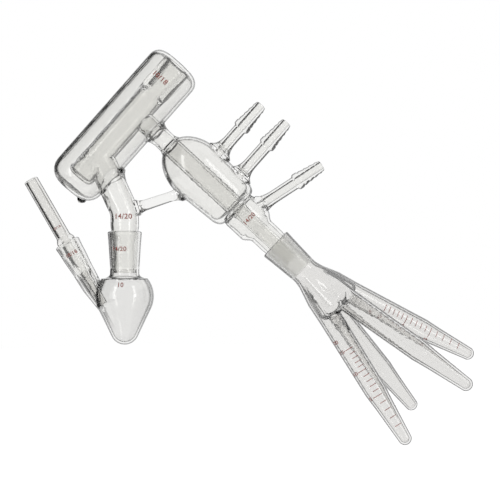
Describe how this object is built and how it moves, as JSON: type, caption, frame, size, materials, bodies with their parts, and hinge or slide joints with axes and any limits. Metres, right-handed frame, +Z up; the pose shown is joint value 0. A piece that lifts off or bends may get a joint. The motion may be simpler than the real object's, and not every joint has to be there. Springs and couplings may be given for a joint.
{
  "type": "distillation head",
  "caption": "Short path distillation head in clear glass, with jacketed still tube, condenser, pear flask, inlet tube and a finger receiver that turns on its ground joint.",
  "frame": {"origin": "on the axis of the flask's neck, at the middle of its ground joint, where a stand's clamp grips it", "axes": "+Z up along the flask's neck, +X towards the receiver"},
  "size_m": [0.2412, 0.0634, 0.2066],
  "materials": {
    "clear_glass": "clear blown borosilicate, ground at the joints"
  },
  "bodies": {
    "head": {"still_head": "clear_glass", "flask": "clear_glass", "inlet_tube": "clear_glass"},
    "receiver": {"receiver": "clear_glass"}
  },
  "joints": [
    {"name": "receiver_turn", "type": "hinge", "parent": "head", "child": "receiver", "pos_m": [0.07969, 0, 0.00444], "axis": [0.7314, 0, -0.682], "continuous": true}
  ]
}
